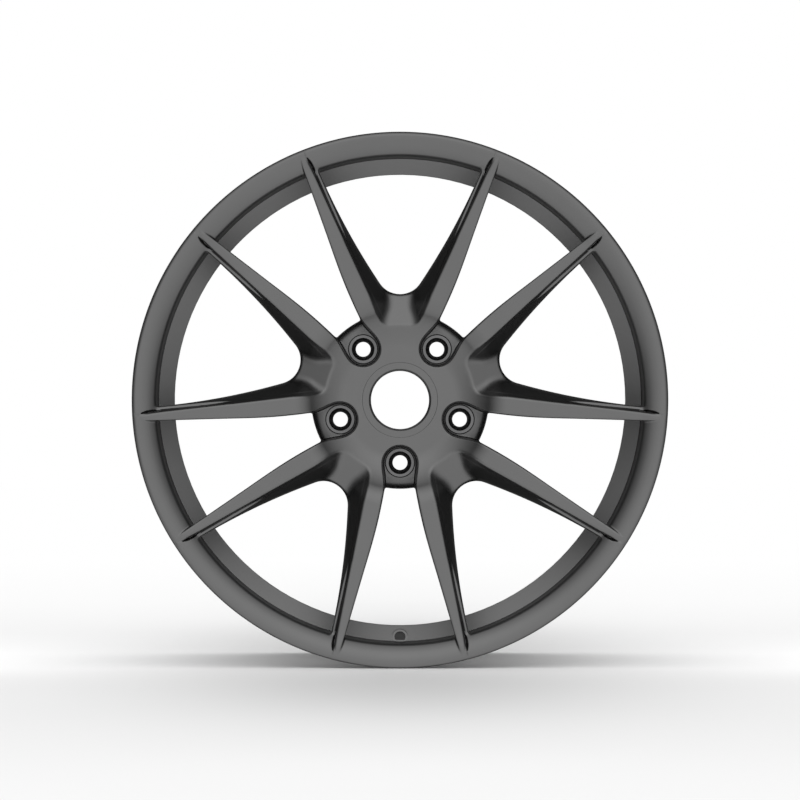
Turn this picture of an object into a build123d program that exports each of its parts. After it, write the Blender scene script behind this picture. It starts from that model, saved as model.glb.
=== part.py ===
from build123d import *
import math
import os

# Forged racing wheel rim, 20 x 9.0J, ET 50, bolt circle 5 x 130.
# Two-piece forged wheel: a face forging (hub, ten spokes, outer lip) bolted from behind to an inner
# barrel. The wheel axis is Y, the front of the wheel faces -Y, +Z is up and the origin is the centre
# of the rim. Lengths are millimetres. A "depth" is measured rearwards from the front plane.

# ---------------------------------------------------------------- driving dimensions
rim_width = 254.5                 # over both flanges
half_width = rim_width / 2
bead_seat_radius = 256.4          # 20 inch nominal rim
flange_radius = 273.9             # bead seat plus a 17.5 mm flange
flange_thickness = 12.95
bead_corner_radius = 6.5
spoke_pairs = 5
pair_angle = 360 / spoke_pairs

# hub
hub_face_depth = 35.0
mounting_face_depth = 77.25       # 50 mm in front of the rim centre
hub_flat_radius = 56.0
hub_bend_radii = (30.0, 68.0)     # hollow arcs from the hub face up to the spokes
hub_bend_turns = (math.radians(18), math.radians(43))
front_bore_radius = 30.0
front_bore_chamfer = 2.0
cap_seat_radius = 38.7
cap_seat_recess = 0.6
cap_groove_radius = 32.0
cap_groove_depths = (45.0, 49.0)
cap_chamber_depth = 57.0
pad_floor_radius = 80.0
pad_outer_radius = 92.3
pad_edge_height = 13.0            # the pad's round edge is a quarter of an ellipse
hub_pocket_radii = (46.0, 67.0)
hub_pocket_half_angle = 15.0
hub_pocket_depth = 58.0
hub_pocket_corner = 6.0

# lug seats
lug_circle_radius = 65.0
lug_pocket_radius = 18.6
lug_floor_depth = 63.0
insert_flange_radius = 15.5
insert_flange_height = 1.6
insert_body_radius = 13.0
insert_bore_radius = 7.7
insert_flange_chamfer = 1.0
insert_seat_radius = 11.8
insert_seat_height = 5.4
insert_tail_depth = 76.6
insert_groove_depth = 1.0
lug_ring_outer_radius = 15.0
lug_ring_depths = (73.6, 75.2)
lug_ring_gap = 6.0
lug_ring_recess_radius = 15.6
lug_ring_recess_depth = 72.6

# hub centring ring and its snap ring
centring_bore_radius = 35.8
centring_outer_radius = 39.5
centring_front_depth = 65.0
centring_lead_in = 1.2
snap_ring_depths = (63.0, 64.8)
snap_ring_inner_radius = 36.4
snap_ring_outer_radius = 41.0
snap_ring_gap = 9.0

# spokes
spoke_brow_radius = 30.0          # round brow where the hollow arcs meet the conical face
spoke_cone_end = (245.0, 2.2)     # radius and depth where the conical face starts to flatten
spoke_tip = (263.0, 0.1)
spoke_foot_radius = 268.0         # where the tips run into the lip
seam_depth = 36.0
spoke_pad_inner_radius = 207.0

# lip and barrel
lip_inner_radius = 249.0
lip_rear_radius = 250.9           # the inner wall widens towards the seam
lip_nose_radius = 269.6           # foremost circle of the lip
lip_corner_radius = 8.0
lip_crown_turn = math.radians(40)
skirt_radius = 250.8
skirt_outer_radius = 254.4
hump_radius = 255.7
well_start_depth = 81.0
well_front_depth = 88.5
well_rear_depth = 125.0
well_radius = 235.2
well_rear_radius = 236.9
barrel_wall = 4.5
rear_bed_depth = 163.0
seal_width = 4.0
seal_height = 1.3

# barrel to face fastening
bolt_angle = 21.15                # of each spoke end from the middle of its pair
bolt_circle_radii = (240.5, 221.0)
dowel_circle_radius = 230.75
tab_width = 13.0
tab_thickness = 12.0
tab_inner_radius = 221.0
bolt_radius = 3.0
bolt_length = 25.0
bolt_head_radius = 5.0
bolt_head_height = 6.0
bolt_socket_radius = 2.9
bolt_socket_depth = 3.2
bolt_clearance_radius = 3.3
washer_radius = 5.9
washer_thickness = 1.6
thread_insert_radius = 4.5
thread_insert_length = 13.0
tapped_depth = 15.0
dowel_radius = 2.0
dowel_length = 16.0

# valve hole, at the bottom of the wheel in the front wall of the well
valve_circle_radius = 246.6
valve_depth = 85.2
valve_tilt = 19.0
valve_hole_radius = 5.75
valve_seat_radius = 8.25
valve_boss_radius = 10.4
valve_boss_height = 6.5
valve_cut_length = 14.0

# planform of one pair of spokes, for the pair at the top: x is sideways, y is up from the axis
outer_edge = [(45.1, 92.7), (58.5, 123.4), (73.5, 164.2), (96.9, 230.0)]
window_bottom = (0, 109.3)
window_edge = [(21.4, 121.4), (57.0, 180.5), (84.1, 237.3)]
scoop_edge = [(29.5, 103.0), (87.6, 230.1)]
scoop_rear_edge = [(19.6, 123.0), (82.4, 237.3)]
scoop_depth = 35.0                # of the rear edge behind the spoke faces
scoop_reach = 50.0
scoop_lead = 8.0
scoop_ramp_start = (76.3, 29.0)   # height and depth where the scoop's ramp leaves the hub
scoop_ramp_angle = math.radians(23)
scoop_ramp_corner = 4.0
scoop_low = 60.0
ledge_start = 163.0               # height where a ledge begins along the scoop's wall
ledge_end = 236.0
ledge_width = 5.5                 # at its end
ledge_depth = 6.0
gap_neck = (-16.4, 90.0)          # half-width and height of the narrow place beside a lug
cut_top = 268.0


def at(radius, depth):
    """A point of a section, as (radius, position along the axis)."""
    return (radius, depth - half_width)


def face_plane(depth):
    """Plane square to the axis: local x is X, local y is Z, its normal points to the front."""
    return Plane.XZ.offset(half_width - depth)


def turned(solid, angle):
    """The solid turned about the wheel axis, clockwise as seen from the front."""
    return solid.rotate(Axis.Y, angle)


def polar(radius, angle):
    """Point on a circle, the angle clockwise from the top as seen from the front."""
    return (radius * math.sin(math.radians(angle)), radius * math.cos(math.radians(angle)))


def along(start, end, height):
    """Point at a height on the line through two points."""
    share = (height - start[1]) / (end[1] - start[1])
    return (start[0] + share * (end[0] - start[0]), height)


def mirrored(point):
    return (-point[0], point[1])


def export(name, label):
    """Label a finished piece and write its file."""
    name.part.label = label
    export_step(name.part, f"parts/{label}.step")


pair_angles = [pair_angle * k for k in range(spoke_pairs)]
lug_angles = [pair_angle * (k + 0.5) for k in range(spoke_pairs)]
spoke_angles = [middle + side * bolt_angle for middle in pair_angles for side in (-1, 1)]
bolt_points = [polar(radius, angle) for angle in spoke_angles for radius in bolt_circle_radii]
lug_points = [polar(lug_circle_radius, angle) for angle in lug_angles]
dowel_angles = (spoke_angles[0], spoke_angles[spoke_pairs])
dowel_points = [polar(dowel_circle_radius, angle) for angle in dowel_angles]
os.makedirs("parts", exist_ok=True)

# ---------------------------------------------------------------- cutters for the face forging
# Window between the two spokes of a pair, square to the face.
window_top = along(window_edge[1], window_edge[2], cut_top)
with BuildPart() as window_cutter:
    with BuildSketch(face_plane(rim_width)):
        with BuildLine():
            ThreePointArc(mirrored(window_edge[0]), window_bottom, window_edge[0])
            ThreePointArc(*window_edge)
            Line(window_edge[2], window_top)
            Line(window_top, mirrored(window_top))
            Line(mirrored(window_top), mirrored(window_edge[2]))
            ThreePointArc(*[mirrored(point) for point in reversed(window_edge)])
        make_face()
    extrude(amount=rim_width)

# The hub face bends up in two hollow arcs, turns over a round brow and runs on as a cone. The arcs'
# centres lie in front of the face; the brow's lies behind it.
hub_bend_centre = (hub_flat_radius, hub_face_depth - hub_bend_radii[0])
radius_change = hub_bend_radii[1] - hub_bend_radii[0]
outer_bend_centre = (
    hub_bend_centre[0] - radius_change * math.sin(hub_bend_turns[0]),
    hub_bend_centre[1] - radius_change * math.cos(hub_bend_turns[0]),
)
brow_centre = (
    outer_bend_centre[0] + (hub_bend_radii[1] + spoke_brow_radius) * math.sin(hub_bend_turns[1]),
    outer_bend_centre[1] + (hub_bend_radii[1] + spoke_brow_radius) * math.cos(hub_bend_turns[1]),
)
brow_to_end = (spoke_cone_end[0] - brow_centre[0], brow_centre[1] - spoke_cone_end[1])
face_angle = math.atan2(brow_to_end[1], brow_to_end[0]) - math.asin(
    spoke_brow_radius / math.hypot(*brow_to_end)
)


def arc_point(centre, radius, turn):
    """Point of an arc where it slopes by an angle."""
    return at(centre[0] + radius * math.sin(turn), centre[1] + radius * math.cos(turn))


def arc_points(centre, radius, turns):
    """Start, middle and end of an arc between two slopes."""
    return [arc_point(centre, radius, turn) for turn in (turns[0], sum(turns) / 2, turns[1])]


# Scooped pocket of a pair: a ramp from the hub face down to the window, between two straight walls.
# The walls are drawn on planes parallel to the spoke faces of the pair at the top, from a plane in
# front of the faces to one behind the ramp. A shallow ledge widens the outer part.
face_axis_depth = spoke_cone_end[1] + spoke_cone_end[0] * math.tan(face_angle)


def sloped_plane(sunk):
    """Plane parallel to the spoke faces of the top pair, a distance behind them along the axis."""
    normal = (0, -math.cos(face_angle), -math.sin(face_angle))
    origin = (0, face_axis_depth + sunk - half_width, 0)
    return Plane(origin=origin, x_dir=(1, 0, 0), z_dir=normal)


def on_slope(point):
    """A point of the planform, in the sloped plane's own coordinates."""
    return (point[0], point[1] / math.cos(face_angle))


def scoop_wall(height, sunk):
    """Point of the scoop's wall at a height of the planform, a distance behind the spoke faces."""
    ledge_share = max(0, (height - ledge_start) / (ledge_end - ledge_start))
    front = along(*scoop_edge, height)[0] - ledge_share * ledge_width
    rear = along(*scoop_rear_edge, height)[0]
    return (front + (rear - front) * sunk / scoop_depth, height)


def ledge_wall(height, sunk):
    """Point of the wall above the ledge; at the ledge's start it runs into the scoop's wall."""
    draft = along(*scoop_edge, ledge_start)[0] - scoop_wall(ledge_start, 1)[0]
    return (along(*scoop_edge, height)[0] - draft * sunk, height)


def scoop_outline(sunk):
    """The scoop from well past the pair's middle to its wall."""
    wall = [scoop_wall(height, sunk) for height in (scoop_low, ledge_start, cut_top)]
    outline = [(-scoop_low, scoop_low), *wall, (-scoop_low, cut_top)]
    with BuildSketch(sloped_plane(sunk)) as sketch:
        with BuildLine():
            Polyline(*[on_slope(point) for point in outline], close=True)
        make_face()
    return sketch.sketch


def ledge_outline(sunk):
    """The ledge of both spokes and the space between them."""
    wall = [ledge_wall(height, sunk) for height in (ledge_start, cut_top)]
    outline = [*wall, *[mirrored(point) for point in reversed(wall)]]
    with BuildSketch(sloped_plane(sunk)) as sketch:
        with BuildLine():
            Polyline(*[on_slope(point) for point in outline], close=True)
        make_face()
    return sketch.sketch


ramp_plane = Plane(
    origin=(0, scoop_ramp_start[1] - half_width, scoop_ramp_start[0]),
    x_dir=(1, 0, 0),
    z_dir=(0, -math.cos(scoop_ramp_angle), math.sin(scoop_ramp_angle)),
)
with BuildPart() as scoop_cutter:
    loft(sections=[scoop_outline(-scoop_lead), scoop_outline(scoop_reach)], ruled=True)
    split(bisect_by=Plane.YZ, keep=Keep.TOP)
    split(bisect_by=ramp_plane, keep=Keep.TOP)
    ramp_edges = [
        edge for edge in scoop_cutter.edges() if abs(ramp_plane.to_local_coords(edge.center()).Z) < 0.01
    ]
    fillet(max(ramp_edges, key=lambda edge: edge.center().X), scoop_ramp_corner)
    mirror(about=Plane.YZ)
with BuildPart() as ledge_cutter:
    loft(sections=[ledge_outline(-scoop_lead), ledge_outline(ledge_depth)], ruled=True)

# Lip section: a straight inner wall, a round corner and a crown up to the foremost circle.
lip_crown_radius = (
    lip_nose_radius - lip_inner_radius - lip_corner_radius * (1 - math.sin(lip_crown_turn))
) / math.sin(lip_crown_turn)
lip_corner_depth = (
    lip_crown_radius * (1 - math.cos(lip_crown_turn)) + lip_corner_radius * math.cos(lip_crown_turn)
)


def lip_corner_point(turn):
    """Point of the lip's inner corner where it slopes by an angle."""
    return at(
        lip_inner_radius + lip_corner_radius * (1 - math.sin(turn)),
        lip_corner_depth - lip_corner_radius * math.cos(turn),
    )


def lip_crown_point(turn):
    """Point of the lip's crown where it slopes by an angle."""
    return at(
        lip_nose_radius - lip_crown_radius * math.sin(turn),
        lip_crown_radius * (1 - math.cos(turn)),
    )


# Gap beside a lug: the pocket round the lug seat, and the window beyond the hub pad. It is drawn for
# a gap at the top, so the pair's outer edge is turned by half a pair.
def beside_gap(point):
    """A point of the pair's planform, turned so that the gap clockwise of the pair is at the top."""
    turn = math.radians(pair_angle / 2)
    return (
        point[0] * math.cos(turn) - point[1] * math.sin(turn),
        point[0] * math.sin(turn) + point[1] * math.cos(turn),
    )


gap_edge = [beside_gap(point) for point in outer_edge]
gap_top = along(gap_edge[-2], gap_edge[-1], cut_top)
pocket_bottom = (0, lug_circle_radius - lug_pocket_radius)
pocket_side = (-lug_pocket_radius, lug_circle_radius)
gap_side = [pocket_side, gap_neck] + gap_edge
with BuildPart() as gap_cutter:
    with BuildSketch(face_plane(mounting_face_depth + 10)):
        with BuildLine():
            ThreePointArc(mirrored(pocket_side), pocket_bottom, pocket_side)
            Spline(gap_side, tangents=[(0, 1), Vector(*gap_edge[-1]) - Vector(*gap_edge[-2])])
            Line(gap_edge[-1], gap_top)
            Line(gap_top, mirrored(gap_top))
            Line(mirrored(gap_top), mirrored(gap_edge[-1]))
            Spline(
                [mirrored(point) for point in gap_side],
                tangents=[(0, 1), Vector(*mirrored(gap_edge[-1])) - Vector(*mirrored(gap_edge[-2]))],
            )
        make_face()
    extrude(amount=mounting_face_depth + 20)
    with BuildSketch(Plane.XY):
        with BuildLine():
            Line(at(0, lug_floor_depth), at(pad_floor_radius, lug_floor_depth))
            EllipticalCenterArc(
                at(pad_floor_radius, lug_floor_depth + pad_edge_height),
                pad_outer_radius - pad_floor_radius,
                pad_edge_height,
                start_angle=270,
                arc_size=90,
            )
            Polyline(
                at(pad_outer_radius, lug_floor_depth + pad_edge_height),
                at(pad_outer_radius, mounting_face_depth + 20),
                at(0, mounting_face_depth + 20),
                at(0, lug_floor_depth),
            )
        make_face()
    revolve(axis=Axis.Y, mode=Mode.SUBTRACT)

# Weight-saving pocket behind the hub, between two lug seats, for the pocket at the top.
with BuildPart() as hub_pocket_cutter:
    with BuildSketch(face_plane(mounting_face_depth + 5)):
        Circle(hub_pocket_radii[1])
        Circle(hub_pocket_radii[0], mode=Mode.SUBTRACT)
        with BuildLine():
            Polyline(
                (0, 0),
                polar(2 * hub_pocket_radii[1], -hub_pocket_half_angle),
                polar(2 * hub_pocket_radii[1], hub_pocket_half_angle),
                close=True,
            )
        make_face(mode=Mode.INTERSECT)
    extrude(amount=mounting_face_depth + 5 - hub_pocket_depth)
    fillet(hub_pocket_cutter.edges().filter_by(Axis.Y), hub_pocket_corner)

# ---------------------------------------------------------------- face forging
with BuildPart() as face_forging:
    # Dished blank: flat hub face, hollow arc, the spokes' common cone, and the back behind them.
    with BuildSketch(Plane.XY):
        with BuildLine():
            Line(at(front_bore_radius, hub_face_depth), at(hub_flat_radius, hub_face_depth))
            ThreePointArc(*arc_points(hub_bend_centre, hub_bend_radii[0], (0, hub_bend_turns[0])))
            ThreePointArc(*arc_points(outer_bend_centre, hub_bend_radii[1], hub_bend_turns))
            ThreePointArc(*arc_points(brow_centre, -spoke_brow_radius, (hub_bend_turns[1], face_angle)))
            Line(arc_point(brow_centre, -spoke_brow_radius, face_angle), at(*spoke_cone_end))
            Spline(
                at(*spoke_cone_end),
                at(*spoke_tip),
                tangents=[(1, -math.tan(face_angle)), (1, 0)],
            )
            Polyline(
                at(*spoke_tip),
                at(spoke_foot_radius, spoke_tip[1]),
                at(260.0, 10.0),
                at(254.0, 16.0),
                at(253.0, seam_depth),
                at(spoke_pad_inner_radius, seam_depth),
                at(pad_outer_radius, mounting_face_depth),
                at(front_bore_radius, mounting_face_depth),
                at(front_bore_radius, hub_face_depth),
            )
        make_face()
    revolve(axis=Axis.Y)
    for angle in pair_angles:
        add(turned(window_cutter.part, angle), mode=Mode.SUBTRACT)
        add(turned(scoop_cutter.part, angle), mode=Mode.SUBTRACT)
        add(turned(ledge_cutter.part, angle), mode=Mode.SUBTRACT)
        add(turned(hub_pocket_cutter.part, angle), mode=Mode.SUBTRACT)
    for angle in lug_angles:
        add(turned(gap_cutter.part, angle), mode=Mode.SUBTRACT)

    # Hub bore: cap seat and snap groove at the front, seats for the centring ring and its snap ring.
    with BuildSketch(Plane.XY):
        with BuildLine():
            Polyline(
                at(0, hub_face_depth - 1),
                at(cap_seat_radius, hub_face_depth - 1),
                at(cap_seat_radius, hub_face_depth + cap_seat_recess),
                at(front_bore_radius + front_bore_chamfer, hub_face_depth + cap_seat_recess),
                at(front_bore_radius, hub_face_depth + cap_seat_recess + front_bore_chamfer),
                at(front_bore_radius, cap_groove_depths[0]),
                at(cap_groove_radius, cap_groove_depths[0]),
                at(cap_groove_radius, cap_groove_depths[1]),
                at(front_bore_radius, cap_groove_depths[1]),
                at(front_bore_radius, cap_chamber_depth),
                at(centring_bore_radius, cap_chamber_depth),
                at(centring_bore_radius, snap_ring_depths[0]),
                at(snap_ring_outer_radius, snap_ring_depths[0]),
                at(snap_ring_outer_radius, snap_ring_depths[1]),
                at(centring_outer_radius, centring_front_depth),
                at(centring_outer_radius, mounting_face_depth + 1),
                at(0, mounting_face_depth + 1),
                close=True,
            )
        make_face()
    revolve(axis=Axis.Y, mode=Mode.SUBTRACT)

    # Outer lip: front flange, bead seat and the register for the barrel.
    with BuildSketch(Plane.XY):
        with BuildLine():
            Line(at(lip_rear_radius, seam_depth), lip_corner_point(math.pi / 2))
            ThreePointArc(
                lip_corner_point(math.pi / 2),
                lip_corner_point(math.pi / 4 + lip_crown_turn / 2),
                lip_crown_point(lip_crown_turn),
            )
            ThreePointArc(
                lip_crown_point(lip_crown_turn), lip_crown_point(lip_crown_turn / 2), lip_crown_point(0)
            )
            ThreePointArc(lip_crown_point(0), at(272.9, 1.5), at(flange_radius, 4.8))
            ThreePointArc(at(flange_radius, 4.8), at(271.0, 10.5), at(265.5, flange_thickness))
            Line(at(265.5, flange_thickness), at(bead_seat_radius + bead_corner_radius, flange_thickness))
            ThreePointArc(
                at(bead_seat_radius + bead_corner_radius, flange_thickness),
                at(bead_seat_radius + 1.9, flange_thickness + 1.9),
                at(bead_seat_radius, flange_thickness + bead_corner_radius),
            )
            Polyline(
                at(bead_seat_radius, flange_thickness + bead_corner_radius),
                at(skirt_outer_radius + 0.2, seam_depth - seal_width / 2),
                at(skirt_outer_radius + 0.2 - seal_height, seam_depth - seal_width / 2),
                at(skirt_outer_radius + 0.2 - seal_height, seam_depth),
                at(lip_rear_radius, seam_depth),
            )
        make_face()
    revolve(axis=Axis.Y)

    # Seats of the lug inserts, with the recess for their retaining rings behind.
    with BuildSketch(face_plane(mounting_face_depth + 1)):
        with Locations(*lug_points):
            Circle(insert_body_radius)
    extrude(amount=mounting_face_depth - lug_floor_depth + 2, mode=Mode.SUBTRACT)
    with BuildSketch(face_plane(mounting_face_depth + 1)):
        with Locations(*lug_points):
            Circle(lug_ring_recess_radius)
    extrude(amount=mounting_face_depth + 1 - lug_ring_recess_depth, mode=Mode.SUBTRACT)

    # Blind holes behind the spoke ends, for the thread inserts and the dowels.
    with BuildSketch(face_plane(seam_depth)):
        with Locations(*bolt_points):
            Circle(thread_insert_radius)
    extrude(amount=tapped_depth, mode=Mode.SUBTRACT)
    with BuildSketch(face_plane(seam_depth)):
        with Locations(*dowel_points):
            Circle(dowel_radius)
    extrude(amount=dowel_length / 2, mode=Mode.SUBTRACT)
export(face_forging, "face_forging")

# ---------------------------------------------------------------- inner barrel
rear_seat_depth = rim_width - flange_thickness - bead_corner_radius
with BuildPart() as inner_barrel:
    with BuildSketch(Plane.XY):
        with BuildLine():
            # Inside, from the seam to the rear flange.
            Line(at(skirt_radius, seam_depth), at(skirt_radius, well_start_depth))
            Line(at(skirt_radius, well_start_depth), at(well_radius, well_front_depth))
            Line(at(well_radius, well_front_depth), at(well_rear_radius, well_rear_depth))
            Spline(
                at(well_rear_radius, well_rear_depth),
                at(skirt_radius, rear_bed_depth),
                tangents=[(0.06, 1), (0, 1)],
            )
            Line(at(skirt_radius, rear_bed_depth), at(skirt_radius, rim_width - 22.0))
            Spline(
                at(skirt_radius, rim_width - 22.0),
                at(256.0, rim_width - 9.6),
                at(263.0, rim_width - 2.8),
                at(269.6, rim_width),
                tangents=[(0, 1), (1, 0)],
            )
            # Rear flange and bead seat.
            ThreePointArc(
                at(269.6, rim_width), at(272.9, rim_width - 1.5), at(flange_radius, rim_width - 4.8)
            )
            ThreePointArc(
                at(flange_radius, rim_width - 4.8),
                at(271.0, rim_width - 10.5),
                at(265.5, rim_width - flange_thickness),
            )
            Line(
                at(265.5, rim_width - flange_thickness),
                at(bead_seat_radius + bead_corner_radius, rim_width - flange_thickness),
            )
            ThreePointArc(
                at(bead_seat_radius + bead_corner_radius, rim_width - flange_thickness),
                at(bead_seat_radius + 1.9, rim_width - flange_thickness - 1.9),
                at(bead_seat_radius, rear_seat_depth),
            )
            # Outside, back to the seam: rear hump, the drop into the well, front hump.
            Polyline(
                at(bead_seat_radius, rear_seat_depth),
                at(skirt_outer_radius + 0.4, rear_seat_depth - 17.0),
                at(hump_radius, rear_seat_depth - 21.0),
                at(hump_radius, rear_seat_depth - 24.0),
                at(skirt_outer_radius + 0.4, rear_seat_depth - 30.0),
                at(skirt_outer_radius + 0.4, rear_bed_depth - 1.5),
            )
            Spline(
                at(skirt_outer_radius + 0.4, rear_bed_depth - 1.5),
                at(well_rear_radius + barrel_wall, well_rear_depth - 1.0),
                tangents=[(0, -1), (-0.06, -1)],
            )
            Polyline(
                at(well_rear_radius + barrel_wall, well_rear_depth - 1.0),
                at(well_radius + barrel_wall, well_front_depth + 2.2),
                at(skirt_outer_radius + 0.4, well_start_depth + 2.4),
                at(skirt_outer_radius + 0.4, seam_depth + 17.0),
                at(hump_radius, seam_depth + 12.0),
                at(hump_radius, seam_depth + 8.0),
                at(skirt_outer_radius, seam_depth + 4.0),
                at(skirt_outer_radius, seam_depth + seal_width / 2),
                at(skirt_outer_radius + 0.2 - seal_height, seam_depth + seal_width / 2),
                at(skirt_outer_radius + 0.2 - seal_height, seam_depth),
                at(skirt_radius, seam_depth),
            )
        make_face()
    revolve(axis=Axis.Y)

    # One bolting tab behind each spoke end, with a round inner end.
    tab_reach = skirt_radius + 1.5 - tab_inner_radius
    with BuildSketch(face_plane(seam_depth + tab_thickness)) as tabs:
        for angle in spoke_angles:
            with Locations(Location(polar(tab_inner_radius, angle), -angle)):
                Rectangle(tab_width, tab_reach, align=(Align.CENTER, Align.MIN))
                Circle(tab_width / 2)
    extrude(amount=tab_thickness)

    # Boss behind the valve hole, on the tyre side only.
    valve_axis = Vector(
        0, -math.cos(math.radians(valve_tilt)), math.sin(math.radians(valve_tilt))
    )
    valve_plane = Plane(
        origin=(0, valve_depth - half_width, -valve_circle_radius), x_dir=(1, 0, 0), z_dir=valve_axis
    )
    with BuildSketch(valve_plane):
        Circle(valve_boss_radius)
    extrude(amount=-valve_boss_height)
    with BuildSketch(valve_plane):
        Circle(valve_seat_radius)
    extrude(amount=valve_cut_length, mode=Mode.SUBTRACT)
    with BuildSketch(valve_plane):
        Circle(valve_hole_radius)
    extrude(amount=valve_cut_length, both=True, mode=Mode.SUBTRACT)

    # Holes through the tabs.
    with BuildSketch(face_plane(seam_depth + tab_thickness)):
        with Locations(*bolt_points):
            Circle(bolt_clearance_radius)
    extrude(amount=tab_thickness, mode=Mode.SUBTRACT)
    with BuildSketch(face_plane(seam_depth + dowel_length / 2)):
        with Locations(*dowel_points):
            Circle(dowel_radius)
    extrude(amount=dowel_length / 2, mode=Mode.SUBTRACT)
export(inner_barrel, "inner_barrel")

# ---------------------------------------------------------------- seal over the seam, tyre side
with BuildPart() as seam_seal:
    seal_inner_radius = skirt_outer_radius + 0.2 - seal_height
    with BuildSketch(face_plane(seam_depth + seal_width / 2)):
        Circle(skirt_outer_radius - 0.1)
        Circle(seal_inner_radius, mode=Mode.SUBTRACT)
    extrude(amount=seal_width)
export(seam_seal, "seam_seal")

# ---------------------------------------------------------------- assembly fasteners
washer_depth = seam_depth + tab_thickness
head_depth = washer_depth + washer_thickness
with BuildPart() as assembly_bolts:
    with BuildSketch(face_plane(head_depth)):
        with Locations(*bolt_points):
            Circle(bolt_radius)
    extrude(amount=bolt_length)
    with BuildSketch(face_plane(head_depth + bolt_head_height)):
        with Locations(*bolt_points):
            Circle(bolt_head_radius)
    extrude(amount=bolt_head_height)
    with BuildSketch(face_plane(head_depth + bolt_head_height)):
        with Locations(*bolt_points):
            RegularPolygon(bolt_socket_radius, 6)
    extrude(amount=bolt_socket_depth, mode=Mode.SUBTRACT)
    head_rims = assembly_bolts.edges().filter_by(GeomType.CIRCLE).group_by(Axis.Y)[-1]
    chamfer(head_rims, 0.6)
export(assembly_bolts, "assembly_bolts")

with BuildPart() as bolt_washers:
    with BuildSketch(face_plane(head_depth)):
        with Locations(*bolt_points):
            Circle(washer_radius)
        with Locations(*bolt_points):
            Circle(bolt_clearance_radius, mode=Mode.SUBTRACT)
    extrude(amount=washer_thickness)
export(bolt_washers, "bolt_washers")

with BuildPart() as thread_inserts:
    with BuildSketch(face_plane(seam_depth)):
        with Locations(*bolt_points):
            Circle(thread_insert_radius)
        with Locations(*bolt_points):
            Circle(bolt_radius, mode=Mode.SUBTRACT)
    extrude(amount=thread_insert_length)
export(thread_inserts, "thread_inserts")

for number, point in enumerate(dowel_points, 1):
    with BuildPart() as index_dowel:
        with BuildSketch(face_plane(seam_depth + dowel_length / 2)):
            with Locations(point):
                Circle(dowel_radius)
        extrude(amount=dowel_length)
        chamfer(index_dowel.edges().filter_by(GeomType.CIRCLE), 0.4)
    export(index_dowel, f"index_dowel_{number}")

# ---------------------------------------------------------------- lug seats
insert_top_depth = lug_floor_depth - insert_flange_height
insert_groove_radius = insert_body_radius - insert_groove_depth
with BuildPart() as lug_seat:
    with BuildSketch(Plane.XY):
        with BuildLine():
            Polyline(
                at(insert_seat_radius, insert_top_depth),
                at(insert_flange_radius - insert_flange_chamfer, insert_top_depth),
                at(insert_flange_radius, insert_top_depth + insert_flange_chamfer),
                at(insert_flange_radius, lug_floor_depth),
                at(insert_body_radius, lug_floor_depth),
                at(insert_body_radius, lug_ring_depths[0]),
                at(insert_groove_radius, lug_ring_depths[0]),
                at(insert_groove_radius, lug_ring_depths[1]),
                at(insert_body_radius, lug_ring_depths[1]),
                at(insert_body_radius, insert_tail_depth),
                at(insert_bore_radius, insert_tail_depth),
                at(insert_bore_radius, insert_top_depth + insert_seat_height),
            )
            ThreePointArc(
                at(insert_bore_radius, insert_top_depth + insert_seat_height),
                at(insert_seat_radius - 1.2, insert_top_depth + insert_seat_height - 3.3),
                at(insert_seat_radius, insert_top_depth),
            )
        make_face()
    revolve(axis=Axis.Y)

with BuildPart() as lug_ring:
    with BuildSketch(face_plane(lug_ring_depths[1])):
        Circle(lug_ring_outer_radius)
        Circle(insert_groove_radius, mode=Mode.SUBTRACT)
        with Locations((0, -lug_ring_outer_radius)):
            Rectangle(lug_ring_gap, lug_ring_outer_radius, mode=Mode.SUBTRACT)
    extrude(amount=lug_ring_depths[1] - lug_ring_depths[0])

for number, angle in enumerate(lug_angles, 1):
    with BuildPart() as lug_seat_insert:
        add(turned(Pos(0, 0, lug_circle_radius) * lug_seat.part, angle))
    export(lug_seat_insert, f"lug_seat_insert_{number}")
    with BuildPart() as lug_insert_ring:
        add(turned(Pos(0, 0, lug_circle_radius) * lug_ring.part, angle))
    export(lug_insert_ring, f"lug_insert_ring_{number}")

# ---------------------------------------------------------------- hub centring ring, snap ring
with BuildPart() as hub_centring_ring:
    with BuildSketch(Plane.XY):
        with BuildLine():
            Polyline(
                at(centring_bore_radius, centring_front_depth),
                at(centring_outer_radius, centring_front_depth),
                at(centring_outer_radius, mounting_face_depth),
                at(centring_bore_radius + centring_lead_in, mounting_face_depth),
                at(centring_bore_radius, mounting_face_depth - centring_lead_in),
                close=True,
            )
        make_face()
    revolve(axis=Axis.Y)
export(hub_centring_ring, "hub_centring_ring")

with BuildPart() as centring_snap_ring:
    with BuildSketch(face_plane(snap_ring_depths[1])):
        Circle(snap_ring_outer_radius)
        Circle(snap_ring_inner_radius, mode=Mode.SUBTRACT)
        with Locations((0, -snap_ring_outer_radius)):
            Rectangle(snap_ring_gap, snap_ring_outer_radius, mode=Mode.SUBTRACT)
    extrude(amount=snap_ring_depths[1] - snap_ring_depths[0])
export(centring_snap_ring, "centring_snap_ring")
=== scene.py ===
import math

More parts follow.
